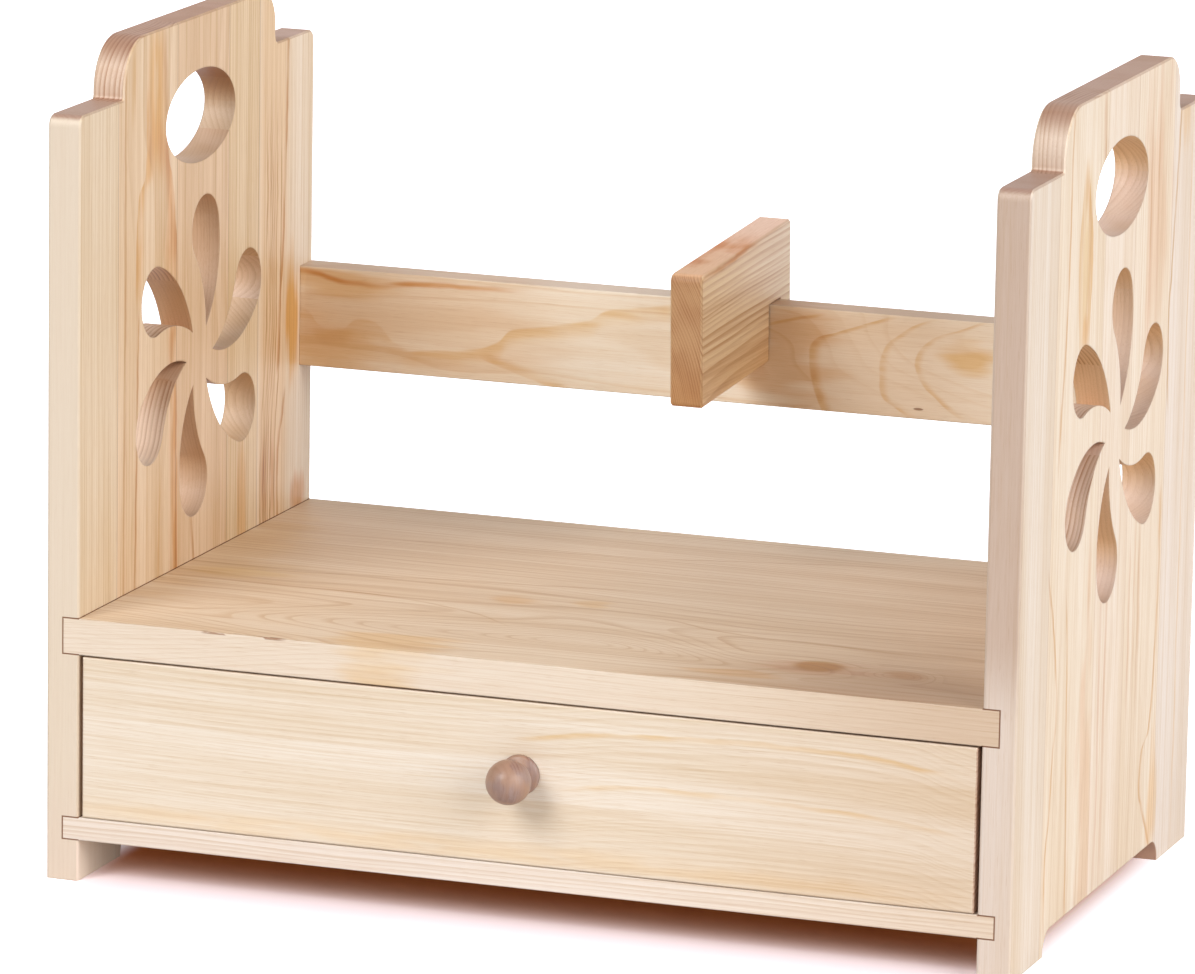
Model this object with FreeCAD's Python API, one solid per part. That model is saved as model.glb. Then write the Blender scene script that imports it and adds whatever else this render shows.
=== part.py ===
"""Desk-top book rack in solid pine, with one drawer and a sliding divider.

Millimetres, +Z up.  The rack stands on Z = 0, +X runs to its right, and its
front faces -Y.  The origin is on the floor under the middle of the whole
object, knob and divider tail included.

Two shaped side panels carry a shelf and a base board in housings.  A rail joins
them at the back, and the divider hangs over that rail in an open slot and slides
along it.  The drawer fills the bay between the shelf and the base board.
"""
import FreeCAD, Part
import math
import os
from FreeCAD import Vector

# ---------------------------------------------------------------- driving sizes
# carcass
overall_width = 440.0
depth = 270.0
side_thickness = 15.0
shoulder_height = 338.0
shoulder_length = 48.0
back_shoulder_length = 47.0
crown_rise = 25.5
crown_corner_radius = 23.0
crown_back_radius = 16.0
shoulder_corner_radius = 5.0
step_inner_radius = 1.5
back_step_radius = 4.0
arris_width = 0.8
foot_length = 47.0
foot_arch_height = 10.5
foot_arch_radius = 10.0

# shelf and base board, each let into the side panels
shelf_thickness = 16.0
shelf_top_height = 117.5
base_thickness = 10.0
base_top_height = 28.5
housing_depth = 7.5

# pierced work in the side panels
hand_hole_length = 80.0
hand_hole_height = 41.8
wood_over_hand_hole = 24.2
wood_over_flower = 15.7
petal_count = 6
petal_tip_distance = 12.0
petal_tip_offset = 6.5
petal_bulb_distance = 56.5
petal_bulb_offset = 5.5
petal_bulb_radius = 15.7
petal_neck_angle = 222.0
petal_flank_angle = 14.0
flower_spread = 1.1

# dowels
dowel_flats = 12

# back rail and its dowels
rail_thickness = 15.0
rail_height = 46.5
rail_bottom_height = 183.5
rail_dowel_diameter = 8.0
rail_dowel_length = 30.0
rail_dowel_depth_in_side = 10.0
rail_dowel_shares = (0.25, 0.75)

# divider, hung over the rail by an open slot
divider_thickness = 15.0
divider_length = 122.5
divider_height = 60.0
divider_tail = 15.0
divider_slot_depth = 26.5
divider_slot_play = 1.5
divider_corner_radius = 4.0
divider_toe_radius = 2.0
divider_rest_x = 15.3

# back of the drawer bay: thin board held in grooves
bay_back_thickness = 5.0
bay_back_inset = 8.0
groove_depth = 4.0

# drawer
drawer_side_gap = 1.8
drawer_top_gap = 1.0
drawer_front_lift = 0.4
drawer_front_thickness = 15.0
drawer_arris_width = 0.5
drawer_lap_thickness = 7.0
drawer_board_thickness = 10.0
drawer_side_height = 60.0
drawer_box_gap = 2.5
drawer_stop_gap = 0.5
drawer_floor_thickness = 4.0
drawer_floor_rise = 6.0
drawer_groove_depth = 4.0
drawer_dowel_diameter = 5.0
drawer_dowel_length = 26.0
drawer_dowel_margin = 14.0

# turned knob and the screw that holds it
knob_above_middle = 4.0
knob_ball_radius = 9.8
knob_projection = 24.5
knob_ball_flats = 12
knob_flange_radius = 8.8
knob_flange_height = 2.8
knob_flange_arris = 1.2
knob_neck_radius = 5.1
knob_neck_share = 0.3
knob_shoulder_radius = 6.0
screw_diameter = 4.0
screw_length = 27.0
screw_head_diameter = 8.0
screw_head_height = 2.6
screw_head_arris = 0.6
screw_recess_width = 0.9
screw_recess_length = 4.6
screw_recess_depth = 1.3
screw_tip_room = 1.0

# clearances
glue_clearance = 0.05
floor_edge_clearance = 0.25
rest_clearance = 0.1

# how far a cutting tool runs past the face that it starts from
cutter_overrun = 1.0

# ---------------------------------------------------------------- derived places
# The divider's slot is wider than the rail, so its heavy front end sinks until the
# slot's walls bear on the rail: the lean follows from the play and the slot's depth.
# The divider turns about the rail's front top corner, then moves by divider_centring,
# so that the foot of the front wall and the head of the rear wall both just clear.
divider_rear = rail_thickness / 2 + divider_tail
divider_lean = math.asin((divider_slot_play - 2 * rest_clearance) / divider_slot_depth)
lean_sine = math.sin(divider_lean)
lean_cosine = math.cos(divider_lean)
front_wall_reach = divider_slot_depth * lean_sine - divider_slot_play / 2 * lean_cosine
rear_wall_room = (rail_thickness + divider_slot_play / 2) * lean_cosine - rail_thickness
divider_centring = -(front_wall_reach + rear_wall_room) / 2

# how far the leaning divider's lower rear corner reaches behind the side panels
toe_centre_back = divider_rear - divider_toe_radius + rail_thickness / 2
toe_centre_drop = divider_slot_depth - divider_toe_radius
toe_swing = toe_centre_back * lean_cosine + toe_centre_drop * lean_sine
divider_overhang = toe_swing + divider_toe_radius + divider_centring - rail_thickness

front_y = (knob_projection - depth - divider_overhang) / 2
back_y = front_y + depth
middle_y = front_y + depth / 2
outer_x = overall_width / 2
inner_x = outer_x - side_thickness
housed_x = inner_x + housing_depth
crown_height = shoulder_height + crown_rise
hand_hole_centre_height = crown_height - wood_over_hand_hole - hand_hole_height / 2
flower_radius = petal_bulb_distance + petal_bulb_radius
flower_centre_height = hand_hole_centre_height - hand_hole_height / 2 - wood_over_flower - flower_radius
shelf_underside = shelf_top_height - shelf_thickness
base_underside = base_top_height - base_thickness
rail_front_y = back_y - rail_thickness
rail_middle_y = back_y - rail_thickness / 2
rail_top = rail_bottom_height + rail_height
bay_back_front_y = back_y - bay_back_inset - bay_back_thickness

drawer_front_half_width = inner_x - drawer_side_gap
drawer_front_bottom = base_top_height + drawer_front_lift
drawer_front_top = shelf_underside - drawer_top_gap
drawer_box_x = inner_x - drawer_box_gap
drawer_inner_x = drawer_box_x - drawer_board_thickness
drawer_lap_y = front_y + drawer_lap_thickness
drawer_front_back_y = front_y + drawer_front_thickness
drawer_rear_y = bay_back_front_y - drawer_stop_gap
drawer_back_front_y = drawer_rear_y - drawer_board_thickness
drawer_side_top = base_top_height + drawer_side_height
drawer_floor_bottom = base_top_height + drawer_floor_rise
drawer_floor_top = drawer_floor_bottom + drawer_floor_thickness
drawer_dowel_heights = (drawer_floor_top + drawer_dowel_margin, drawer_side_top - drawer_dowel_margin)
knob_height = (drawer_front_bottom + drawer_front_top) / 2 + knob_above_middle


# ---------------------------------------------------------------- shape helpers
def block(x_range, y_range, z_range):
    """A box between two limits along each axis."""
    size = [high - low for low, high in (x_range, y_range, z_range)]
    return Part.makeBox(size[0], size[1], size[2], Vector(x_range[0], y_range[0], z_range[0]))


def dowel_bar(diameter, x_range, y, z):
    """A dowel, or the hole for one, along X, in flats that keep the hidden joints' mesh light."""
    x_low, x_high = x_range
    corners = []
    for step in range(dowel_flats + 1):
        angle = 2 * math.pi * step / dowel_flats
        offset = Vector(0, math.cos(angle), math.sin(angle)) * (diameter / 2)
        corners.append(Vector(x_low, y, z) + offset)
    return Part.Face(Part.makePolygon(corners)).extrude(Vector(x_high - x_low, 0, 0))


def rounded_prism(corners, x_range):
    """A prism along X whose outline has corners (y, z, radius), listed in order."""
    x_low, x_high = x_range
    edges = []
    leave_points = []
    arrive_points = []
    for index, (y, z, radius) in enumerate(corners):
        here = Vector(x_low, y, z)
        before = Vector(x_low, *corners[index - 1][:2])
        after = Vector(x_low, *corners[(index + 1) % len(corners)][:2])
        to_before = (before - here).normalize()
        to_after = (after - here).normalize()
        half_angle = to_before.getAngle(to_after) / 2
        setback = radius / math.tan(half_angle)
        arrive_points.append(here + to_before * setback)
        leave_points.append(here + to_after * setback)
        if radius > 0:
            inward = (to_before + to_after).normalize()
            mid_point = here + inward * (radius / math.sin(half_angle) - radius)
            edges.append(Part.Arc(arrive_points[-1], mid_point, leave_points[-1]).toShape())
    for index, leave in enumerate(leave_points):
        arrive = arrive_points[(index + 1) % len(corners)]
        edges.append(Part.LineSegment(leave, arrive).toShape())
    outline = Part.Wire(Part.__sortEdges__(edges))
    return Part.Face(outline).extrude(Vector(x_high - x_low, 0, 0))


def eased(solid, width, wanted):
    """Take the sharp arris off the edges that the test picks out."""
    return solid.makeChamfer(width, [edge for edge in solid.Edges if wanted(edge.BoundBox)])


def mirrored(sign, x_near, x_far):
    """An X range on the left (-1) or the right (+1), from the middle outwards."""
    return tuple(sorted((sign * x_near, sign * x_far)))


# ---------------------------------------------------------------- side panels
def petal_cutter(turn, x_range):
    """One comma-shaped petal of the pierced flower, turned by this many degrees about its centre."""
    x_low, x_high = x_range
    cosine, sine = math.cos(math.radians(turn)), math.sin(math.radians(turn))

    def placed(offset, distance):
        """A petal's own point, turned, then spread along the panel's depth."""
        y = (offset * cosine - distance * sine) * flower_spread
        return Vector(x_low, middle_y + y, flower_centre_height + offset * sine + distance * cosine)

    bulb = placed(petal_bulb_offset, petal_bulb_distance)
    tip = placed(petal_tip_offset, petal_tip_distance)

    def on_bulb(angle):
        radians = math.radians(angle + turn)
        return bulb + Vector(0, math.cos(radians), math.sin(radians)) * petal_bulb_radius

    def flank_middle(start):
        """Half-way point of the arc from start to the tip that leaves the bulb smoothly."""
        outward = (start - bulb).normalize()
        chord = tip - start
        radius = chord.Length ** 2 / (2 * abs(chord.dot(outward)))
        centre = start + outward * math.copysign(radius, chord.dot(outward))
        middle = (start + tip) / 2
        return centre + (middle - centre).normalize() * radius

    broad_side = on_bulb(petal_flank_angle)
    crest = on_bulb((petal_flank_angle + petal_neck_angle) / 2)
    narrow_side = on_bulb(petal_neck_angle)
    edges = [
        Part.Arc(broad_side, crest, narrow_side).toShape(),
        Part.Arc(narrow_side, flank_middle(narrow_side), tip).toShape(),
        Part.Arc(tip, flank_middle(broad_side), broad_side).toShape(),
    ]
    return Part.Face(Part.Wire(edges)).extrude(Vector(x_high - x_low, 0, 0))


def hand_hole_cutter(x_range):
    """The oval hand hole under the crown."""
    x_low, x_high = x_range
    centre = Vector(x_low, middle_y, hand_hole_centre_height)
    long_end = centre + Vector(0, hand_hole_length / 2, 0)
    short_end = centre + Vector(0, 0, hand_hole_height / 2)
    outline = Part.Wire([Part.Ellipse(long_end, short_end, centre).toShape()])
    return Part.Face(outline).extrude(Vector(x_high - x_low, 0, 0))


def side_blank(x_range):
    """The panel's outline: low shoulders, a raised crown and two feet."""
    near_crown = front_y + shoulder_length
    far_crown = back_y - back_shoulder_length
    near_foot = front_y + foot_length
    far_foot = back_y - foot_length
    corners = [
        (front_y, 0, 0),
        (front_y, shoulder_height, shoulder_corner_radius),
        (near_crown, shoulder_height, step_inner_radius),
        (near_crown, crown_height, crown_corner_radius),
        (far_crown, crown_height, crown_back_radius),
        (far_crown, shoulder_height, back_step_radius),
        (back_y, shoulder_height, shoulder_corner_radius),
        (back_y, 0, 0),
        (far_foot, 0, 0),
        (far_foot, foot_arch_height, foot_arch_radius),
        (near_foot, foot_arch_height, foot_arch_radius),
        (near_foot, 0, 0),
    ]
    blank = rounded_prism(corners, x_range)

    def above_the_arch(box):
        return box.XLength < arris_width / 2 and box.ZMax > 2 * foot_arch_height

    return eased(blank, arris_width, above_the_arch)


def rail_dowel_heights():
    """Two dowels at each end of the rail, at their shares of its height."""
    return [rail_bottom_height + rail_height * share for share in rail_dowel_shares]


def side_panel(sign):
    """A side panel, left (-1) or right (+1), with all its joinery and pierced work."""
    panel = side_blank(mirrored(sign, inner_x, outer_x))
    through = mirrored(sign, inner_x - side_thickness, outer_x + side_thickness)
    cuts = [petal_cutter(step * 360.0 / petal_count, through) for step in range(petal_count)]
    cuts.append(hand_hole_cutter(through))

    housing = mirrored(sign, inner_x - housing_depth, housed_x)
    cuts.append(block(housing, (front_y, back_y), (shelf_underside, shelf_top_height)))
    cuts.append(block(housing, (front_y, back_y), (base_underside, base_top_height)))

    groove = mirrored(sign, inner_x - groove_depth, inner_x + groove_depth)
    groove_y = (bay_back_front_y, bay_back_front_y + bay_back_thickness)
    cuts.append(block(groove, groove_y, (base_top_height, shelf_underside)))

    socket = mirrored(sign, inner_x, inner_x + rail_dowel_depth_in_side + glue_clearance)
    for height in rail_dowel_heights():
        cuts.append(dowel_bar(rail_dowel_diameter + 2 * glue_clearance, socket, rail_middle_y, height))
    return panel.cut(cuts)


# ---------------------------------------------------------------- shelf, base, bay back, rail
def bay_back_groove(z_range):
    """The groove for the bay's back, run the whole length of a board."""
    groove_y = (bay_back_front_y, bay_back_front_y + bay_back_thickness)
    return block((-overall_width, overall_width), groove_y, z_range)


def shelf():
    """The thick shelf, housed in both side panels and grooved underneath."""
    board = block((-housed_x, housed_x), (front_y, back_y), (shelf_underside, shelf_top_height))
    return board.cut(bay_back_groove((shelf_underside - groove_depth, shelf_underside + groove_depth)))


def base_board():
    """The thinner board under the drawer, housed like the shelf and grooved on top."""
    board = block((-housed_x, housed_x), (front_y, back_y), (base_underside, base_top_height))
    return board.cut(bay_back_groove((base_top_height - groove_depth, base_top_height + groove_depth)))


def bay_back():
    """The thin board that closes the drawer bay, held in grooves on four sides."""
    reach = groove_depth - floor_edge_clearance
    return block(
        (-inner_x - reach, inner_x + reach),
        (bay_back_front_y, bay_back_front_y + bay_back_thickness),
        (base_top_height - reach, shelf_underside + reach),
    )


def rail_dowel_range(sign):
    """Where a rail dowel lies along X."""
    outer_end = inner_x + rail_dowel_depth_in_side
    return mirrored(sign, outer_end - rail_dowel_length, outer_end)


def back_rail():
    """The rail on edge between the side panels, flush with their backs."""
    rail = block((-inner_x, inner_x), (rail_front_y, back_y), (rail_bottom_height, rail_top))
    holes = []
    for sign in (-1, 1):
        low, high = rail_dowel_range(sign)
        hole = (low - glue_clearance, high + glue_clearance)
        for height in rail_dowel_heights():
            holes.append(dowel_bar(rail_dowel_diameter + 2 * glue_clearance, hole, rail_middle_y, height))
    return rail.cut(holes)


def rail_dowels(sign):
    """The two dowels at one end of the rail."""
    span = rail_dowel_range(sign)
    heights = rail_dowel_heights()
    return Part.makeCompound([dowel_bar(rail_dowel_diameter, span, rail_middle_y, z) for z in heights])


# ---------------------------------------------------------------- divider
def divider():
    """The board that straddles the rail by its open slot and leans with its front end down."""
    slot_half_width = (rail_thickness + divider_slot_play) / 2
    front = divider_rear - divider_length
    corners = [
        (front, 0, divider_toe_radius),
        (front, divider_height, divider_corner_radius),
        (divider_rear, divider_height, divider_toe_radius),
        (divider_rear, 0, divider_toe_radius),
        (slot_half_width, 0, 0),
        (slot_half_width, divider_slot_depth, 0),
        (-slot_half_width, divider_slot_depth, 0),
        (-slot_half_width, 0, 0),
    ]
    thickness_range = (divider_rest_x - divider_thickness / 2, divider_rest_x + divider_thickness / 2)
    board = rounded_prism(corners, thickness_range)

    def outside_the_slot(box):
        beside_slot = box.YMax < -slot_half_width - arris_width or box.YMin > slot_half_width + arris_width
        over_slot = box.ZMin > divider_slot_depth + arris_width
        return box.XLength < arris_width / 2 and (beside_slot or over_slot)

    board = eased(board, arris_width, outside_the_slot)
    rail_corner = Vector(0, -rail_thickness / 2, divider_slot_depth)
    board.rotate(rail_corner, Vector(1, 0, 0), math.degrees(divider_lean))
    rise = rail_top + rest_clearance - divider_slot_depth
    board.translate(Vector(0, rail_middle_y + divider_centring, rise))
    return board


# ---------------------------------------------------------------- drawer
def drawer_dowel_hole(sign, y, z):
    """A hole for a corner dowel, run in from the outer face of the drawer's side."""
    inner_end = drawer_box_x - drawer_dowel_length - glue_clearance
    hole = mirrored(sign, inner_end, drawer_box_x + cutter_overrun)
    return dowel_bar(drawer_dowel_diameter + 2 * glue_clearance, hole, y, z)


def front_dowel_y():
    """The front corner dowels run through the lapped end of each side."""
    return (drawer_lap_y + drawer_front_back_y) / 2


def back_dowel_y():
    """The rear corner dowels run into the middle of the drawer's back."""
    return (drawer_back_front_y + drawer_rear_y) / 2


def drawer_front():
    """The inset front, rebated at both ends for the sides and grooved for the floor."""
    height_range = (drawer_front_bottom, drawer_front_top)
    half = drawer_front_half_width
    front = block((-half, half), (front_y, drawer_front_back_y), height_range)

    def on_the_face(box):
        return box.YLength < arris_width / 2 and box.YMax < front_y + arris_width / 2

    front = eased(front, drawer_arris_width, on_the_face)
    cuts = []
    for sign in (-1, 1):
        rebate = mirrored(sign, drawer_inner_x, half + cutter_overrun)
        rebate_y = (drawer_lap_y, drawer_front_back_y + cutter_overrun)
        cuts.append(block(rebate, rebate_y, (0, shelf_top_height)))
        for height in drawer_dowel_heights:
            cuts.append(drawer_dowel_hole(sign, front_dowel_y(), height))
    groove_y = (drawer_front_back_y - drawer_groove_depth, drawer_front_back_y + cutter_overrun)
    cuts.append(block((-half, half), groove_y, (drawer_floor_bottom, drawer_floor_top)))
    screw_radius = screw_diameter / 2 + glue_clearance
    screw_hole_mouth = Vector(0, front_y - cutter_overrun, knob_height)
    cuts.append(Part.makeCylinder(screw_radius, screw_length, screw_hole_mouth, Vector(0, 1, 0)))
    return front.cut(cuts)


def drawer_side(sign):
    """A side of the drawer, grooved inside for the floor."""
    side = block(
        mirrored(sign, drawer_inner_x, drawer_box_x),
        (drawer_lap_y, drawer_rear_y),
        (base_top_height, drawer_side_top),
    )
    groove = mirrored(sign, drawer_inner_x - cutter_overrun, drawer_inner_x + drawer_groove_depth)
    cuts = [block(groove, (front_y, back_y), (drawer_floor_bottom, drawer_floor_top))]
    for y in (front_dowel_y(), back_dowel_y()):
        for height in drawer_dowel_heights:
            cuts.append(drawer_dowel_hole(sign, y, height))
    return side.cut(cuts)


def drawer_back():
    """The back of the drawer, between the sides and on top of the floor."""
    back = block(
        (-drawer_inner_x, drawer_inner_x),
        (drawer_back_front_y, drawer_rear_y),
        (drawer_floor_top, drawer_side_top),
    )
    cuts = []
    for sign in (-1, 1):
        for height in drawer_dowel_heights:
            cuts.append(drawer_dowel_hole(sign, back_dowel_y(), height))
    return back.cut(cuts)


def drawer_floor():
    """The thin floor, slid from behind into the grooves of the sides and the front."""
    reach = drawer_groove_depth - floor_edge_clearance
    return block(
        (-drawer_inner_x - reach, drawer_inner_x + reach),
        (drawer_front_back_y - reach, drawer_rear_y),
        (drawer_floor_bottom, drawer_floor_top),
    )


def corner_dowels(sign, y):
    """Two dowels through one corner of the drawer, flush with the side's outer face."""
    span = mirrored(sign, drawer_box_x - drawer_dowel_length, drawer_box_x)
    return Part.makeCompound([dowel_bar(drawer_dowel_diameter, span, y, z) for z in drawer_dowel_heights])


# ---------------------------------------------------------------- knob and screw
def turned(base_y, profile):
    """A turned piece on the knob's axis, from (radius, distance along +Y from base_y) points."""
    points = [Vector(radius, base_y + reach, knob_height) for radius, reach in profile]
    outline = Part.Face(Part.makePolygon(points + points[:1]))
    return outline.revolve(Vector(0, base_y, knob_height), Vector(0, 1, 0), 360)


def knob():
    """The turned ball knob: flange, waisted neck and ball, drilled for its screw.

    The ball is turned in narrow flats, which keeps its mesh light.
    """
    ball_centre = knob_projection - knob_ball_radius
    ball_start_angle = math.asin(knob_shoulder_radius / knob_ball_radius)
    ball_start = ball_centre - knob_ball_radius * math.cos(ball_start_angle)
    neck_taper = knob_neck_share * (ball_start - knob_flange_height)
    profile = [
        (0, 0),
        (knob_flange_radius, 0),
        (knob_flange_radius, knob_flange_height - knob_flange_arris),
        (knob_flange_radius - knob_flange_arris, knob_flange_height),
        (knob_shoulder_radius, knob_flange_height),
        (knob_neck_radius, knob_flange_height + neck_taper),
        (knob_neck_radius, ball_start - neck_taper),
    ]
    for step in range(knob_ball_flats):
        angle = ball_start_angle + (math.pi - ball_start_angle) * step / knob_ball_flats
        radius = knob_ball_radius * math.sin(angle)
        profile.append((radius, ball_centre - knob_ball_radius * math.cos(angle)))
    profile.append((0, knob_projection))
    blank = turned(front_y, [(radius, -reach) for radius, reach in profile])

    bore_radius = screw_diameter / 2 + glue_clearance
    bore_depth = screw_length - drawer_front_thickness + screw_tip_room
    bore_mouth = Vector(0, front_y, knob_height)
    return blank.cut(Part.makeCylinder(bore_radius, bore_depth, bore_mouth, Vector(0, -1, 0)))


def knob_screw():
    """The pan-headed screw, from inside the drawer through its front into the knob."""
    screw = turned(drawer_front_back_y, [
        (0, -screw_length),
        (screw_diameter / 2, -screw_length),
        (screw_diameter / 2, 0),
        (screw_head_diameter / 2, 0),
        (screw_head_diameter / 2, screw_head_height - screw_head_arris),
        (screw_head_diameter / 2 - screw_head_arris, screw_head_height),
        (0, screw_head_height),
    ])
    crown_y = drawer_front_back_y + screw_head_height
    recess_y = (crown_y - screw_recess_depth, crown_y + cutter_overrun)
    half_long = screw_recess_length / 2
    half_wide = screw_recess_width / 2
    level = block((-half_long, half_long), recess_y, (knob_height - half_wide, knob_height + half_wide))
    upright = block((-half_wide, half_wide), recess_y, (knob_height - half_long, knob_height + half_long))
    return screw.cut([level, upright])


# ---------------------------------------------------------------- write one file per piece
def build():
    """Every piece of the rack by name."""
    return {
        "left_side": side_panel(-1),
        "right_side": side_panel(1),
        "shelf": shelf(),
        "base_board": base_board(),
        "bay_back": bay_back(),
        "back_rail": back_rail(),
        "rail_dowels_left": rail_dowels(-1),
        "rail_dowels_right": rail_dowels(1),
        "divider": divider(),
        "drawer_front": drawer_front(),
        "drawer_side_left": drawer_side(-1),
        "drawer_side_right": drawer_side(1),
        "drawer_back": drawer_back(),
        "drawer_floor": drawer_floor(),
        "front_dowels_left": corner_dowels(-1, front_dowel_y()),
        "front_dowels_right": corner_dowels(1, front_dowel_y()),
        "back_dowels_left": corner_dowels(-1, back_dowel_y()),
        "back_dowels_right": corner_dowels(1, back_dowel_y()),
        "knob": knob(),
        "knob_screw": knob_screw(),
    }


os.makedirs("parts", exist_ok=True)
for name, shape in build().items():
    shape.exportStep("parts/" + name + ".step")
    box = shape.BoundBox
    print(name, len(shape.Solids), "solid(s)", shape.isValid(), round(shape.Volume), "mm3",
          [round(value, 2) for value in (box.XMin, box.XMax, box.YMin, box.YMax, box.ZMin, box.ZMax)])
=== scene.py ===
import math

import bmesh
import bpy
from mathutils import Matrix, Vector


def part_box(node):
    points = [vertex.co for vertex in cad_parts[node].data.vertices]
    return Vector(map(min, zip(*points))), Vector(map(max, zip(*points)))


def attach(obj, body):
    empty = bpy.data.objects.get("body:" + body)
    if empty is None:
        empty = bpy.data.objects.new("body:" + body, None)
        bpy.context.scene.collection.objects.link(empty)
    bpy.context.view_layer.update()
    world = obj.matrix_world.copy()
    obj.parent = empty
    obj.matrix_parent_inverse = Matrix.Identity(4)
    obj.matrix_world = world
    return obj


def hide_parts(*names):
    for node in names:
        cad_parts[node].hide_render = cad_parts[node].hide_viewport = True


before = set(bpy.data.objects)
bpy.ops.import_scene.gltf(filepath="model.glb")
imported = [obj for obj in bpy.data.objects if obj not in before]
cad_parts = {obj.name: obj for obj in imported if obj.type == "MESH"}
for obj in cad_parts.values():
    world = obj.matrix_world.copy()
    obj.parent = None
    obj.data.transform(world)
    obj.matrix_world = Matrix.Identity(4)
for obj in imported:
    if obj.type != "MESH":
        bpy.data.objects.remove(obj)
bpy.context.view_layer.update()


# ---- Side panels
# Two upright panels, each glued up from five pine staves and planed to 15 mm. The outline, the
# six-petalled flower and the hand hole are sawn through, the arrises eased and the wood given a
# clear matt finish. The ends of the shelf and of the base board are let into them from the inside.


class Signal:
    """A value or a colour on its way to a finish. Operators on it add the maths."""

    def __init__(self, tree, socket=None):
        self.tree, self.socket = tree, socket

    def node(self, kind, settings, feeds, output=0):
        made = self.tree.nodes.new(kind)
        for name, value in settings.items():
            setattr(made, name, value)
        for name, value in feeds.items():
            if isinstance(value, Signal):
                self.tree.links.new(value.socket, made.inputs[name])
            else:
                made.inputs[name].default_value = value
        return Signal(self.tree, made.outputs[output])

    def maths(self, operation, first, second=0.0):
        return self.node("ShaderNodeMath", {"operation": operation}, {0: first, 1: second})

    def __add__(self, other):
        return self.maths("ADD", self, other)

    def __sub__(self, other):
        return self.maths("SUBTRACT", self, other)

    def __mul__(self, other):
        return self.maths("MULTIPLY", self, other)

    def __truediv__(self, other):
        return self.maths("DIVIDE", self, other)

    def __rsub__(self, other):
        return self.maths("SUBTRACT", other, self)

    def __gt__(self, other):
        return self.maths("GREATER_THAN", self, other)

    def __abs__(self):
        return self.maths("ABSOLUTE", self)

    __radd__ = __add__
    __rmul__ = __mul__

    def part(self, axis):
        return self.node("ShaderNodeSeparateXYZ", {}, {0: self}, axis)

    def rise(self, low, high):
        """0 below low, 1 above high, a soft step between them."""
        settings = {"interpolation_type": "SMOOTHSTEP"}
        feeds = {"Value": self, "From Min": low, "From Max": high}
        return self.node("ShaderNodeMapRange", settings, feeds)

    def between(self, low, high, soft):
        """1 from low to high and 0 outside, with soft steps this wide to each side."""
        return self.rise(low - soft, low + soft) * (1 - self.rise(high - soft, high + soft))

    def mix(self, without, wholly, blend_type="MIX"):
        """One colour over another, by this share."""
        settings = {"data_type": "RGBA", "blend_type": blend_type}
        return self.node("ShaderNodeMix", settings, {0: self, 6: without, 7: wholly}, 2)


def tint(red, green, blue):
    """A colour as it looks, 0 to 255, made linear."""
    return tuple(((c / 255 + 0.055) / 1.055) ** 2.4 for c in (red, green, blue)) + (1.0,)


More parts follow.
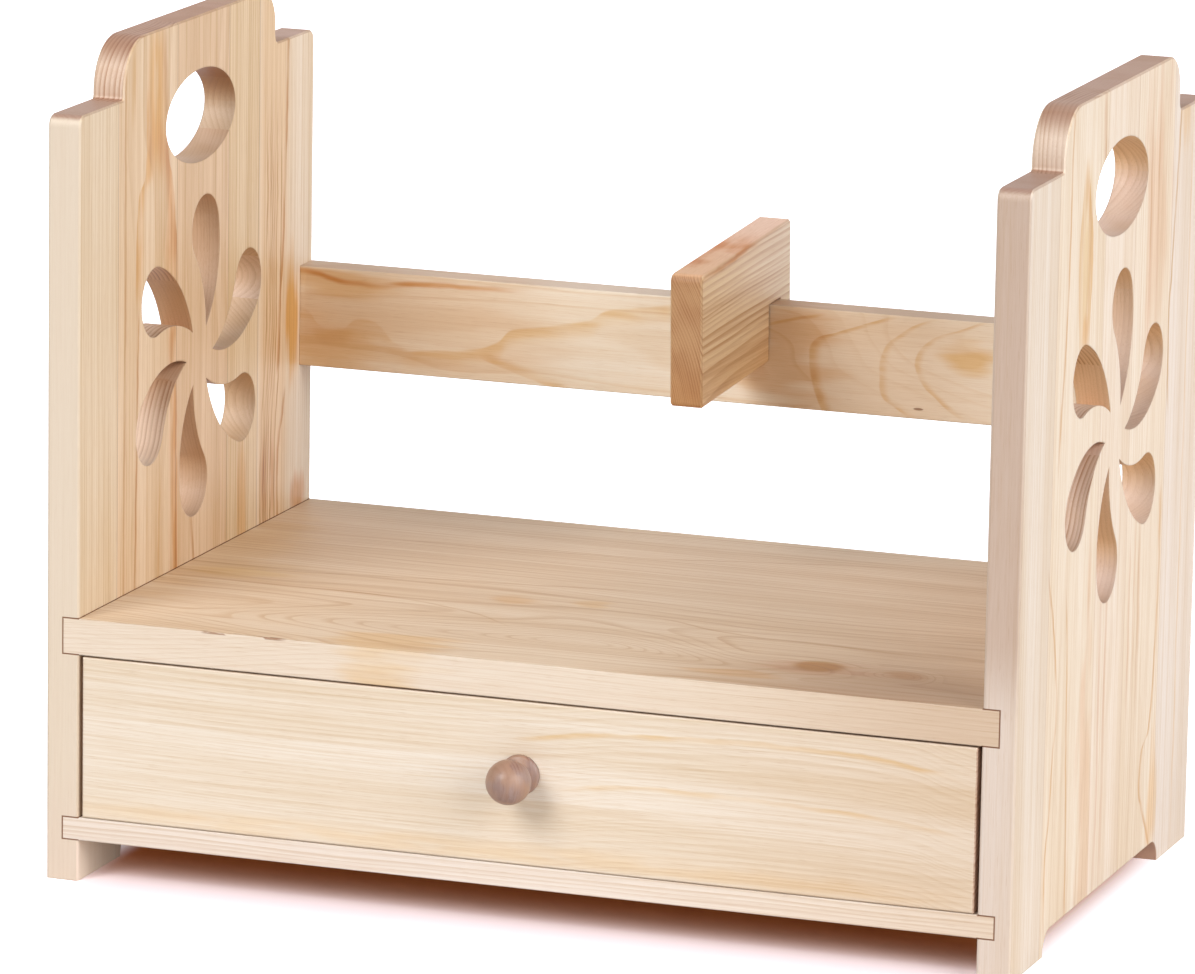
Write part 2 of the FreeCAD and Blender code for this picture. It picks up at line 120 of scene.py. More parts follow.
class Timber:
    """A board cut from a log: year rings about a heart, seen on its faces, edges and ends.

    lie names the axes that run along, across and through the board. Places on it are in mm.
    """

    def __init__(self, name, lie, board_number):
        self.material = bpy.data.materials.new(name)
        self.material.use_nodes = True
        self.surface = self.material.node_tree.nodes["Principled BSDF"]
        self.start = Signal(self.material.node_tree)
        place = self.start.node("ShaderNodeTexCoord", {}, {}, "Object")
        facing = self.start.node("ShaderNodeTexCoord", {}, {}, "Normal")
        self.along, self.across, self.depth = (place.part(axis) * 1000 for axis in lie)
        self.end_cut = abs(facing.part(lie[0])).rise(0.45, 0.9)
        self.edge_cut = abs(facing.part(lie[1])).rise(0.45, 0.9)
        self.face_cut = abs(facing.part(lie[2])).rise(0.3, 0.8)
        self.sawn_cut = self.end_cut
        self.upward = facing.part(lie[0]).rise(-0.7, 0.7)
        self.pierced = 0.0
        self.board_number = board_number
        self.seams = ()

    def noise(self, long_reach, cross_reach, detail=2.0, output="Fac"):
        """Unevenness that runs this far with the grain and across it, in mm."""
        feeds = {
            0: self.along / long_reach + self.board_number * 7.3,
            1: self.across / cross_reach,
            2: self.depth / cross_reach,
        }
        spot = self.start.node("ShaderNodeCombineXYZ", {}, feeds)
        feeds = {"Vector": spot, "Scale": 1.0, "Detail": detail}
        return self.start.node("ShaderNodeTexNoise", {}, feeds, output)

    def length(self, one, other):
        pair = self.start.node("ShaderNodeCombineXYZ", {}, {0: one, 1: other})
        return self.start.node("ShaderNodeVectorMath", {"operation": "LENGTH"}, {0: pair}, "Value")

    def spot(self, along, across, long_reach, cross_reach):
        """1 at this place on the board, fading to 0 at its reach."""
        away = self.length((self.along - along) / long_reach, (self.across - across) / cross_reach)
        return 1 - away.rise(0.0, 1.0)

    def by_stave(self, values):
        """The value of the stave that this place is on."""
        chosen = values[0]
        for seam, before, after in zip(self.seams, values, values[1:]):
            chosen = (self.across > seam) * (after - before) + chosen
        return chosen

    def stain(self, amount, colour):
        """Darkens the wood towards itself times this colour."""
        self.colour = amount.mix(self.colour, colour, "MULTIPLY")

    def dye(self, amount, colour):
        """Turns the wood this colour."""
        self.colour = amount.mix(self.colour, colour)

    def through(self, points, place):
        """Reads a smooth curve, drawn through these (place, value) points, at this place."""
        start, end = points[0][0], points[-1][0]
        low = min(value for _, value in points)
        height = max(value for _, value in points) - low + 1
        drawn = [((at - start) / (end - start), (value - low) / height) for at, value in points]
        curve = self.start.node("ShaderNodeFloatCurve", {}, {1: (place - start) / (end - start)})
        mapping = curve.socket.node.mapping
        knots = mapping.curves[0].points
        knots[0].location, knots[1].location = drawn[0], drawn[-1]
        for knot in drawn[1:-1]:
            knots.new(*knot)
        mapping.update()
        return curve * height + low

    def grow(self, staves, ring, wander, swells=(), bend=None, seams=(), late_share=0.7):
        """Lays the year rings, each about this wide, wandering this far from true circles.

        A stave is (heart across, heart depth, contrast, colour). A swell, where the rings part
        round a knot, is (along, across, reach along, reach across, push). bend is how the heart
        of a curved log strays, as (along, across) points.
        """
        self.seams = seams
        wide_jitter = (self.noise(55, 55, detail=1.0) - 0.5) * 4
        self.jitter = wide_jitter + (self.noise(11, 11, detail=1.0) - 0.5) * 1.6
        self.patches = self.noise(34, 5, detail=1.0).rise(0.3, 0.6) * 0.6 + 0.4
        sway = self.noise(230, 60, output="Color")
        strayed = self.noise(150, 60, detail=0.0, output="Color")
        across = self.across
        if bend:
            across = across - self.through(bend, self.along)
        over = across - self.by_stave([stave[0] for stave in staves])
        under = self.depth - self.by_stave([stave[1] for stave in staves])
        over = over + (sway.part("X") - 0.5) * wander
        under = under + (sway.part("Y") - 0.5) * wander
        reach = self.length(over, under)
        for along, at_across, long_reach, cross_reach, push in swells:
            stray_along = (strayed.part("X") - 0.5) * long_reach * 0.7 + along
            stray_across = (strayed.part("Y") - 0.5) * cross_reach * 0.7 + at_across
            reach = reach + self.spot(stray_along, stray_across, long_reach, cross_reach) * push
        one_way = {"noise_dimensions": "1D"}
        feeds = {"W": reach / 19 + self.board_number, "Scale": 1.0}
        lean_years = self.start.node("ShaderNodeTexNoise", one_way, feeds)
        turns = reach / ring + (lean_years - 0.5) * 5
        year = self.start.maths("FLOOR", turns)
        feeds = {"W": year + self.board_number}
        vigour = self.start.node("ShaderNodeTexWhiteNoise", one_way, feeds)
        season = turns - year
        autumn = season.rise(0.95 - late_share, 0.93) * (1 - season.rise(0.93, 1.0))
        self.late_wood = autumn * (0.4 + 0.6 * vigour)
        self.contrast = self.by_stave([stave[2] for stave in staves])
        self.colour = staves[0][3]
        for seam, stave in zip(seams, staves[1:]):
            self.dye(self.across > seam, stave[3])

    def sawn(self, front, rear, highest_hole, edge_strip=9, hole_margin=50):
        """Walls of holes and steps are sawn across the rings and show like end grain."""
        from_middle = abs(self.across - (front + rear) / 2)
        half = (rear - front) / 2
        off_edges = 1 - (from_middle > half - edge_strip)
        self.sawn_cut = self.start.maths("MAXIMUM", self.end_cut, (1 - self.face_cut) * off_edges)
        among_holes = (1 - (from_middle > half - hole_margin)) * (1 - (self.along > highest_hole))
        self.pierced = (1 - self.face_cut) * off_edges * among_holes

    def show_grain(
        self, late, end, end_late, edge_strength=0.35, fine=0.3, wall=None, wall_lines=(1.0,)
    ):
        """Colours the late wood, the fibres, the end grain and the walls of holes.

        wall holds painted light and shade for the walls of holes: a warm tint of painted shade for a
        wall that looks down and a cool tint of painted light for one that looks up, and wall_lines
        how bold the rings are where each stave is sawn across.
        """
        off_edge = 1 - self.edge_cut * (1 - edge_strength)
        with_grain = 1 - self.sawn_cut
        clouds = self.noise(300, 17, detail=1.0).rise(0.35, 0.75)
        threads = self.noise(170, 1.5, detail=2.0).rise(0.42, 0.7)
        self.stain(clouds * off_edge * 0.3, late)
        self.stain(threads * with_grain * off_edge * fine, late)
        self.stain(self.late_wood * self.contrast * with_grain * off_edge, late)
        self.stain(self.end_cut * (1 - self.pierced), end)
        # Walls of holes get painted light and shade by which way they face.
        if wall:
            painted_shade_on_down_walls, painted_light_on_up_walls = wall
            self.stain(self.pierced * (1 - self.upward), painted_shade_on_down_walls)
            self.stain(self.pierced * self.upward, painted_light_on_up_walls)
        uneven = self.noise(30, 30, detail=1.0).rise(0.3, 0.6) * 0.6 + 0.4
        bold = uneven * self.by_stave(wall_lines)
        self.stain(self.late_wood * self.sawn_cut * bold, end_late)
        self.fibre = self.noise(24, 0.34, detail=3.0)
        self.stain(self.fibre.rise(0.42, 0.72) * 0.4, tint(238, 226, 210))
        self.stain(self.noise(9, 0.3, detail=1.0).rise(0.62, 0.74) * 0.28, tint(212, 182, 142))

    def vein(self, points, before, after, colour, amount, fade=12, crosswise=False):
        """A line through (along, across) points that fades this far before and after itself."""
        place, off = (self.across, self.along) if crosswise else (self.along, self.across)
        off = off - self.through(points, place) + self.jitter
        reach = self.start.maths("MAXIMUM", off / after, off / -before)
        ends = place.between(points[0][0] + fade, points[-1][0] - fade, fade) * self.patches
        self.stain((1 - reach.rise(0.1, 1.0)) * ends * (1 - self.sawn_cut * 0.7) * amount, colour)

    def flush(self, along, across, long_reach, cross_reach, colour, amount):
        """A ragged patch where the wood is darker or more resinous."""
        torn = self.noise(60, 9, output="Color")
        off_along = (self.along - along) / long_reach + (torn.part("X") - 0.5) * 1.8
        off_across = (self.across - across) / cross_reach + (torn.part("Y") - 0.5) * 1.8
        core = 1 - self.length(off_along, off_across).rise(0.35, 1.0)
        self.stain(core * (1 - self.sawn_cut * 0.6) * amount, colour)

    def let_in(self, node, colour):
        """The thin glue line where the end of a board is let into a side panel."""
        low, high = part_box(node)
        place = self.start.node("ShaderNodeTexCoord", {}, {}, "Object")
        middle, half = (high.z + low.z) * 500, (high.z - low.z) * 500
        beyond_end = abs(place.part("X") * 1000) - high.x * 1000
        beyond_face = abs(place.part("Z") * 1000 - middle) - half
        outside = self.start.maths("MAXIMUM", beyond_end, beyond_face)
        in_panel = abs(place.part("X") * 1000) > inner_face
        self.stain((1 - abs(outside).rise(0.12, 0.5)) * in_panel, colour)

    def seam_lines(self, colour):
        """The hair-thin joints between glued staves."""
        for seam in self.seams:
            joint = 1 - abs(self.across - seam).rise(0.08, 0.35)
            self.stain(joint * (1 - self.sawn_cut) * 0.7, colour)

    def finish(self, nodes, roughness=0.5, relief=0.00012, arris=0.0010):
        """Matt varnish over the grain's fine relief, with softened arrises."""
        shine = self.late_wood * -0.08 + self.fibre * 0.12 + (roughness - 0.03)
        rounded = self.start.node("ShaderNodeBevel", {"samples": 6}, {"Radius": arris})
        height = self.late_wood * 0.5 + self.fibre * 0.5
        feeds = {"Strength": 0.35, "Distance": relief, "Height": height, "Normal": rounded}
        bumped = self.start.node("ShaderNodeBump", {}, feeds)
        links = self.material.node_tree.links
        links.new(self.colour.socket, self.surface.inputs["Base Color"])
        links.new(shine.socket, self.surface.inputs["Roughness"])
        links.new(bumped.socket, self.surface.inputs["Normal"])
        self.surface.inputs["Specular IOR Level"].default_value = 0.45
        for node in nodes:
            for holder in node.material_slots:
                holder.material = self.material


honey, resin = tint(246, 228, 196), tint(234, 202, 152)
bark, umber = tint(214, 176, 128), tint(150, 110, 78)
late_pine = tint(222, 197, 148)
end_pine = tint(206, 184, 176)
end_late_pine = tint(196, 158, 126)
front_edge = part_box("left_side")[0].y * 1000
back_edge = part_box("left_side")[1].y * 1000
inner_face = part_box("right_side")[0].x * 1000 - 0.2
above_hand_hole = 342


def on_panel(*points):
    """Places on a side panel, each a height and a distance back from the front edge."""
    return [(height, front_edge + behind) for height, behind in points]


left = Timber("left_panel_pine", "ZYX", 1)
left.sawn(front_edge, back_edge, above_hand_hole)
left.grow(
    staves=(
        (front_edge - 130, -310, 0.22, tint(231, 213, 189)),
        (front_edge + 78, -400, 0.40, tint(232, 208, 180)),
        (front_edge + 132, -390, 0.45, tint(226, 198, 168)),
        (front_edge + 120, -270, 0.70, tint(232, 210, 180)),
        (front_edge + 420, -310, 0.25, tint(240, 223, 204)),
    ),
    seams=(front_edge + 42, front_edge + 108, front_edge + 168, front_edge + 204),
    ring=1.8,
    wander=7,
)
left.show_grain(
    tint(218, 194, 142), end_pine, end_late_pine, fine=0.4,
    wall=(tint(232, 208, 184), tint(230, 220, 218)), wall_lines=(0.3, 1.0, 0.3, 0.3, 0.3),
)

# Walls of the lower front petal, of the hand hole, and of the steps and the crown.
pale_petal = left.spot(192, front_edge + 64, 42, 42).rise(0.0, 0.4)
left.dye(left.pierced * pale_petal * 0.6, tint(250, 230, 212))
left.stain(left.pierced * left.along.rise(285, 300), tint(247, 250, 254))
# The walls high in the hand hole that look down are darkened: painted shade.
left.stain(left.pierced * left.along.rise(305, 335) * (1 - left.upward), tint(212, 186, 172))
left.stain((left.sawn_cut - left.pierced) * (1 - left.face_cut), tint(246, 244, 254))

# A golden band of heartwood runs down the second stave and splits into two flames.
left.stain(left.across.between(front_edge + 206, front_edge + 238, 5) * 0.9, tint(252, 240, 222))
left.vein(on_panel((290, 86), (330, 85), (376, 84)), 14, 13, tint(248, 222, 168), 0.9, fade=14)
left.flush(320, front_edge + 86, 40, 10, tint(250, 238, 206), 0.4)
left.flush(245, front_edge + 101, 40, 9, resin, 0.45)
left.flush(130, front_edge + 186, 46, 7, tint(238, 208, 160), 0.7)
left.flush(122, front_edge + 254, 14, 11, tint(226, 180, 130), 0.8)
left.flush(206, front_edge + 246, 42, 10, tint(238, 198, 120), 0.9)
left.vein(on_panel((316, 59), (372, 59)), 4, 4, tint(236, 216, 174), 0.7)
left.vein(on_panel((296, 100), (330, 96), (372, 92)), 5, 4, bark, 0.5)
left.vein(
    on_panel((235, 64), (255, 62), (275, 63), (293, 66), (305, 74), (345, 73)),
    0.9, 11, tint(238, 206, 150), 0.8,
)
left.vein(
    on_panel((240, 109), (255, 108), (275, 106), (295, 102), (305, 98), (328, 93)),
    14, 0.9, tint(230, 188, 134), 0.85,
)

# Single lines in the second and third staves.
left.vein(on_panel((105, 110), (170, 109), (235, 108)), 12, 1.2, tint(226, 182, 120), 0.9, fade=6)
left.vein(on_panel((105, 62), (150, 63), (190, 64), (245, 65)), 1.6, 1.6, bark, 0.9, fade=6)
left.vein(on_panel((-20, 50), (372, 50)), 1.6, 1.6, bark, 0.5)
left.vein(on_panel((105, 88), (170, 90)), 1.5, 1.5, honey, 0.9)
left.vein(on_panel((100, 131), (122, 129), (142, 126)), 3, 1.2, bark, 0.8, fade=4)

# The rear stave: the dark border of its golden side, and close lines before it.
left.vein(
    on_panel((182, 228), (196, 230), (212, 231), (241, 235), (265, 236), (305, 238), (374, 240)),
    3.4, 0.8, bark, 0.95, fade=4,
)
left.vein(
    on_panel((100, 230), (143, 230), (154, 232), (166, 236), (178, 239)),
    3.4, 0.8, bark, 0.95, fade=4,
)
for behind in (209, 213, 215.5, 218, 221, 226):
    left.vein(
        on_panel(
            (-20, behind - 1), (140, behind), (200, behind + 5), (240, behind + 6), (330, behind + 4)
        ),
        1.7, 0.9, tint(204, 170, 114), 0.85, fade=26,
    )
left.vein(on_panel((110, 211), (135, 213), (165, 212)), 5, 5, tint(222, 186, 140), 0.8)
left.vein(on_panel((110, 224), (135, 223), (165, 225)), 5, 4, tint(222, 186, 140), 0.8)

# The joints, the plainer front edge, the foot under the base board and the glue lines.
left.seam_lines(umber)
left.dye(left.edge_cut * (1 - left.sawn_cut) * 0.6, tint(227, 211, 194))
left.dye(left.face_cut * (1 - left.along.rise(20, 32)) * 0.7, tint(250, 228, 212))
left.stain(left.edge_cut * (1 - left.along.rise(10, 60)), tint(254, 251, 253))
left.let_in("shelf", umber)
left.let_in("base_board", umber)
left.finish([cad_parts["left_side"]])

right = Timber("right_panel_pine", "ZYX", 2)
right.sawn(front_edge, back_edge, above_hand_hole)
right.grow(
    staves=(
        (front_edge - 130, 310, 0.20, tint(236, 222, 208)),
        (front_edge + 80, 400, 0.28, tint(242, 226, 207)),
        (front_edge + 136, 390, 0.28, tint(243, 227, 211)),
        (front_edge + 120, 290, 0.40, tint(243, 227, 209)),
        (front_edge + 400, 310, 0.18, tint(238, 224, 213)),
    ),
    seams=(front_edge + 42, front_edge + 112, front_edge + 158, front_edge + 215),
    ring=1.8,
    wander=7,
    swells=((57, front_edge + 196, 45, 16, 5),),
)
right.show_grain(
    late_pine, end_pine, end_late_pine,
    wall=(tint(248, 220, 184), tint(224, 211, 208)), wall_lines=(0.3, 1.0, 0.35, 0.35, 0.3),
)
fawn = tint(232, 202, 158)

# A pale golden flame, closed by a line on each side, stands over the front petal.
right.vein(
    on_panel((246, 79), (262, 76), (280, 74), (297, 73), (319, 76), (344, 83)),
    0.9, 9, tint(240, 218, 178), 0.9,
)
right.vein(
    on_panel((246, 90), (262, 91), (297, 93), (319, 88), (344, 82)),
    10, 0.9, tint(236, 208, 164), 0.95,
)
right.flush(296, front_edge + 84, 52, 9, tint(241, 224, 188), 0.9)
right.flush(262, front_edge + 84, 14, 9, tint(246, 222, 186), 0.8)

# Long lines in the front half, straight over the petals and wavering below them.
right.vein(on_panel((318, 110), (372, 107)), 4, 2.4, tint(222, 186, 148), 0.9)
right.vein(
    on_panel((204, 51), (228, 52), (243, 54), (262, 56), (285, 58), (319, 59), (372, 60)),
    2.6, 1.2, tint(226, 192, 146), 0.95,
)
right.vein(
    on_panel(
        (-5, 50), (40, 47), (62, 51), (84, 54), (108, 58), (123, 55), (140, 51), (157, 45), (176, 36)
    ),
    2.6, 1.2, fawn, 0.9,
)
right.vein(on_panel((-5, 80), (40, 77), (84, 74), (131, 71), (160, 66)), 1.8, 1.8, fawn, 0.9)
right.flush(70, front_edge + 102, 90, 14, tint(246, 228, 212), 0.8)
right.vein(on_panel((126, 102), (180, 102)), 4, 4, tint(238, 214, 188), 0.8)
right.vein(on_panel((-10, 122), (180, 121)), 2.2, 2.2, tint(240, 222, 208), 0.9, fade=30)
right.vein(on_panel((-10, 130), (200, 130)), 2.6, 2.6, tint(240, 222, 208), 0.9, fade=30)
right.flush(300, front_edge + 192, 80, 26, tint(246, 230, 216), 0.9)
for behind, low, high, half_width in (
    (166, 60, 180, 2.6), (173, 70, 190, 1.5), (180, 60, 185, 3.2), (182, 235, 372, 2.4),
    (193, 240, 372, 1.6),
):
    line = on_panel((low, behind), (high, behind))
    right.vein(line, half_width, half_width, tint(232, 208, 182), 0.8, fade=24)

# The rear border, with a bulge round a knot over the rear foot.
right.vein(
    on_panel((200, 218), (230, 216), (249, 215), (266, 217), (297, 221), (319, 224), (374, 228)),
    2.4, 1.6, tint(220, 186, 130), 0.95, fade=6,
)
right.flush(345, front_edge + 234, 40, 9, tint(250, 234, 206), 0.9)
right.vein(
    on_panel(
        (4, 212), (12, 207), (23, 200), (32, 194), (44, 190), (56, 192), (65, 203), (100, 209),
        (176, 210),
    ),
    1.6, 3.2, fawn, 0.9, fade=5,
)
right.vein(on_panel((-20, 244), (372, 246)), 2.0, 2.0, honey, 0.8, fade=40)

# The joints, the front edge, the steps, the arch between the feet and the glue lines.
right.seam_lines(tint(206, 170, 124))
right.stain(right.edge_cut * (1 - right.sawn_cut), tint(244, 241, 243))
right.stain((right.sawn_cut - right.pierced) * (1 - right.face_cut), tint(228, 220, 218))
# The arch wall between the feet is dyed warm brown: painted warm shade that stands for light bounced
# off the wood.
arch_wall_warm_shade = right.sawn_cut * (1 - right.face_cut) * (1 - right.along.rise(14, 20))
right.dye(arch_wall_warm_shade * 0.85, tint(226, 178, 150))
right.flush(30, front_edge + 212, 34, 12, tint(250, 232, 204), 0.9)
upper_front = right.along.rise(104, 150) * (1 - (right.across > front_edge + 9))
right.stain(right.edge_cut * upper_front, tint(226, 215, 207))
right.let_in("shelf", umber)
right.let_in("base_board", umber)
right.finish([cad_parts["right_side"]])


# ---- Shelf and base board
# Two flat-sawn pine boards across the rack. The 16 mm shelf carries the books, the 10 mm base
# board carries the drawer, and both are glued into housings in the side panels.

shelf = Timber("shelf_pine", "XYZ", 3)
shelf.grow(
    staves=((-80, -130, 0.65, tint(235, 214, 190)),),
    ring=1.9,
    wander=14,
    swells=(
        (-9, -84, 150, 52, 20), (-215, -150, 150, 66, 16), (118, -85, 44, 26, 7),
        (156, -86, 22, 17, 11),
    ),
    late_share=0.4,
)
shelf.dye(shelf.edge_cut * 0.6, tint(238, 225, 211))
shelf.show_grain(tint(222, 197, 162), end_pine, end_late_pine, edge_strength=0.45, fine=0.3)
# The shelf darkens towards its right end: painted shade from the right panel.
shelf.stain(shelf.along.rise(0, 220) * 0.8, tint(244, 236, 226))
shelf.stain(shelf.along.rise(70, 200), tint(240, 234, 230))

# Golden and resinous patches, the knot near the front right corner, and a painted shade over the
# shelf's front right.
shelf.flush(-172, -16, 34, 17, tint(252, 242, 198), 0.5)
shelf.flush(-195, 20, 30, 120, tint(251, 241, 214), 0.45)
shelf.flush(-46, -18, 14, 12, tint(248, 226, 190), 0.6)
shelf.flush(-10, -12, 12, 10, tint(248, 230, 190), 0.6)
shelf.flush(-64, -116, 34, 20, tint(248, 230, 196), 0.8)
shelf.flush(119, -89, 34, 18, tint(244, 224, 214), 0.7)
shelf.stain(shelf.spot(118, -85, 17, 15).rise(0.0, 0.6) * 0.9, tint(218, 190, 126))
shelf.stain(shelf.spot(150, -120, 140, 70) * shelf.face_cut, tint(214, 205, 199))

# A few bolder rings than the rest.
for points in (
    ((-140, 72), (-116, 76), (-32, 81), (19, 93), (87, 109), (110, 112)),
    ((-190, -14), (-164, -8), (-102, 3), (-16, 16), (20, 22)),
    ((-180, -34), (-156, -34), (-97, -36), (-54, -50), (-32, -66), (-20, -76)),
    ((10, -24), (27, -28), (65, -42), (119, -47), (146, -50), (170, -52)),
):
    shelf.vein(points, 0.9, 2.0, tint(226, 204, 174), 0.7, fade=16)
shelf.flush(156, -86, 12, 10, tint(232, 206, 172), 0.7)
shelf.flush(88, -112, 24, 8, tint(246, 224, 190), 0.7)

# The front arris is chipped near its left end, just under the top face.
shelf_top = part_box("shelf")[1].z * 1000
arris = shelf.across.between(front_edge - 1, front_edge + 1.8, 0.3)
arris = arris * shelf.depth.rise(shelf_top - 1.1, shelf_top - 0.6)
chips = shelf.along.between(-147, -110, 3) * shelf.noise(9, 3).rise(0.45, 0.55)
shelf.stain(arris * chips * 0.8, tint(168, 128, 96))
shelf.let_in("shelf", umber)
shelf.finish([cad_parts["shelf"]])

base = Timber("base_board_pine", "XYZ", 4)
base.grow(staves=((-85, -60, 0.65, tint(248, 239, 229)),), ring=1.9, wander=8)
base.show_grain(tint(224, 204, 180), end_pine, end_late_pine, edge_strength=0.9)
base.stain(base.edge_cut, tint(250, 247, 247))
base.stain(base.along.rise(-60, 220) * base.edge_cut, tint(249, 244, 236))
base.let_in("base_board", umber)
base.finish([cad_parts["base_board"]])


# ---- Back of the drawer bay
# A thin sheet of three-ply pine behind the drawer, held in grooves on all four sides. Its faces
# are peeled veneer with broad figure, and its edges show the crossed middle ply.


def plywood(name, lie, board_number, node):
    sheet = Timber(name, lie, board_number)
    low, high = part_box(node)
    axis = "XYZ".index(lie[2])
    middle, thickness = (low[axis] + high[axis]) * 500, (high[axis] - low[axis]) * 1000
    sheet.grow(staves=((60, middle - 90, 0.5, tint(230, 204, 168)),), ring=2.0, wander=34)
    sheet.show_grain(late_pine, tint(236, 214, 190), end_late_pine)
    crossed = 1 - abs(sheet.depth - middle).rise(thickness * 0.16, thickness * 0.20)
    edge = 1 - (1 - sheet.end_cut) * (1 - sheet.edge_cut)
    sheet.stain(crossed * edge, tint(186, 140, 104))
    sheet.finish([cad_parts[node]], roughness=0.62)


plywood("bay_back_ply", "XZY", 5, "bay_back")


# ---- Back rail
# A 15 mm pine rail between the side panels, dowelled to them, that stops the books and carries
# the divider. It is flat-sawn, with one large cathedral figure near its right end.

rail = Timber("rail_pine", "XZY", 6)
rail.grow(
    staves=((205, 70, 0.5, tint(247, 240, 227)),),
    ring=3.6,
    wander=14,
    swells=((136, 211, 125, 40, 19),),
    late_share=0.3,
)
rail.contrast = rail.contrast * (1 - rail.along.rise(30, 60) * 0.6)
rail.show_grain(tint(230, 204, 164), end_pine, end_late_pine, fine=0.1)
rail.stain(1 - rail.along.between(-84, 24, 24), tint(248, 240, 232))
amber = tint(238, 212, 166)

# The wandering border of the dark wood in the rail's left half, and the patches within it.
rail.vein(
    ((-225, 228), (-201, 227), (-173, 224), (-150, 226), (-90, 227)),
    2.2, 2.2, tint(230, 186, 134), 0.95, fade=16,
)
rail.vein(
    ((-215, 212), (-201, 208), (-193, 201), (-185, 201), (-174, 207), (-158, 197), (-146, 192)),
    10, 2.0, amber, 0.45, fade=5,
)
rail.vein(
    (
        (-156, 192), (-148, 194), (-141, 195), (-127, 196), (-117, 198), (-108, 201), (-100, 208),
        (-80, 211), (-63, 215), (-55, 220), (-40, 223), (-18, 227),
    ),
    9, 1.6, tint(242, 220, 180), 0.8, fade=5,
)
rail.vein(((-118, 195), (-108, 192), (-92, 187), (-70, 182)), 1.2, 5, amber, 0.8, fade=5)
rail.flush(-192, 194, 44, 15, tint(242, 218, 174), 0.65)
rail.flush(-175, 206, 110, 40, tint(244, 231, 217), 0.65)
rail.stain(rail.along.between(20, 112, 20) * 0.9, tint(238, 230, 222))
rail.flush(-186, 223, 44, 8, tint(242, 220, 182), 0.8)
rail.vein(((20, 220), (50, 228)), 1.2, 1.2, amber, 0.8, fade=4)

# Three nested arches stand across the grain round the cathedral figure's tip.
for points, before, after, colour, amount in (
    (
        ((180, 52), (191, 46), (205, 43), (214, 44), (220, 56), (224, 67), (230, 82)),
        1.4, 6, tint(236, 208, 160), 0.8,
    ),
    (
        ((183, 92), (188, 83), (193, 77), (201, 76), (212, 77), (221, 85), (230, 102)),
        1.2, 4, amber, 0.6,
    ),
    (
        ((184, 116), (193, 104), (201, 96), (209, 93), (218, 98), (226, 114), (231, 126)),
        1.2, 4, amber, 0.6,
    ),
):
    rail.vein(points, before, after, colour, amount, fade=2, crosswise=True)
rail.flush(118, 212, 16, 8, tint(240, 214, 166), 0.9)
rail.stain(rail.spot(94, 188, 4, 1).rise(0.2, 0.6) * 0.8, umber)
rail.stain(rail.edge_cut * 0.8, tint(224, 206, 198))
# A painted shadow of the divider on the rail, just right of where the divider rests.
rail.flush(28, 205, 34, 50, tint(236, 208, 172), 0.7)
rail.finish([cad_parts["back_rail"]])


# ---- Divider
# A short upright board of close-grained darker pine. An open slot near its tail straddles the
# back rail, so it slides from side to side and hangs nose-down by the slot's play.

divider = Timber("divider_pine", "YZX", 7)
divider.grow(
    staves=((157, -170, 0.72, tint(240, 215, 177)),), ring=1.1, wander=5, bend=((10, 0), (165, 9))
)
pale_corner = divider.along.rise(40, 150) * divider.across.rise(210, 262)
divider.dye(pale_corner * 0.95, tint(255, 240, 222))
divider.show_grain(tint(204, 164, 118), tint(208, 184, 164), tint(196, 160, 130), edge_strength=0.3)
divider.stain(divider.edge_cut, tint(244, 220, 214))
divider.stain(1 - divider.across.rise(190, 232), tint(252, 238, 216))
divider.vein(((10, 256), (60, 259), (120, 262)), 2.4, 1.4, tint(222, 170, 104), 0.95, fade=16)
divider.finish([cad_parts["divider"]])


# ---- Drawer front
# One pale pine board, rift-sawn so that fine lines run along it, set in flush with the rack.

front = Timber("drawer_front_pine", "XZY", 8)
front.grow(
    staves=((-130, -60, 0.24, tint(242, 230, 216)),),
    ring=2.2,
    wander=6,
    bend=((-215, 0), (-60, -3), (5, 0), (46, 5), (79, 7), (123, 8), (167, 6), (189, 1), (215, -6)),
)
front.show_grain(late_pine, end_pine, end_late_pine, fine=0.22)
front.vein(((-280, 34), (260, 34)), 8, 7, tint(250, 236, 212), 0.7, fade=70)
front.vein(
    ((-10, 82), (5, 85), (46, 90), (79, 92), (123, 93), (167, 91), (200, 82)),
    2.4, 1.2, tint(246, 226, 188), 0.8,
)
front.vein(
    ((14, 64), (79, 68), (123, 68), (156, 67), (200, 58)), 2.4, 1.2, tint(246, 226, 188), 0.7
)
front.stain(front.along.rise(20, 210) * 0.95, tint(242, 234, 226))
front.finish([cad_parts["drawer_front"]])


# ---- Drawer box
# Plain 10 mm pine sides and back, dowelled at the corners and left unfinished, with a thin
# plywood floor that slides into their grooves from behind.

for side, board_number in (("left", 9), ("right", 10)):
    wall = Timber("drawer_side_%s_pine" % side, "YZX", board_number)
    wall.grow(staves=((-40, 150, 0.6, tint(232, 204, 168)),), ring=2.8, wander=18)
    wall.show_grain(late_pine, end_pine, end_late_pine)
    wall.finish([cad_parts["drawer_side_" + side]], roughness=0.65)

drawer_back = Timber("drawer_back_pine", "XZY", 11)
drawer_back.grow(staves=((60, 60, 0.6, tint(232, 204, 168)),), ring=2.8, wander=26)
drawer_back.show_grain(late_pine, end_pine, end_late_pine)
drawer_back.finish([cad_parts["drawer_back"]], roughness=0.65)

plywood("drawer_floor_ply", "XYZ", 12, "drawer_floor")


# ---- Dowels
# Beech pegs glued across the drawer's corners and into the rail's ends.

beech = Timber("dowel_beech", "XYZ", 13)
beech.grow(staves=((0, 30, 0.4, tint(214, 176, 138)),), ring=1.6, wander=6)
beech.show_grain(tint(190, 140, 100), tint(214, 186, 160), tint(180, 140, 110))
pegs = [node for name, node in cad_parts.items() if "dowels" in name]
beech.finish(pegs, roughness=0.6, arris=0.0004)


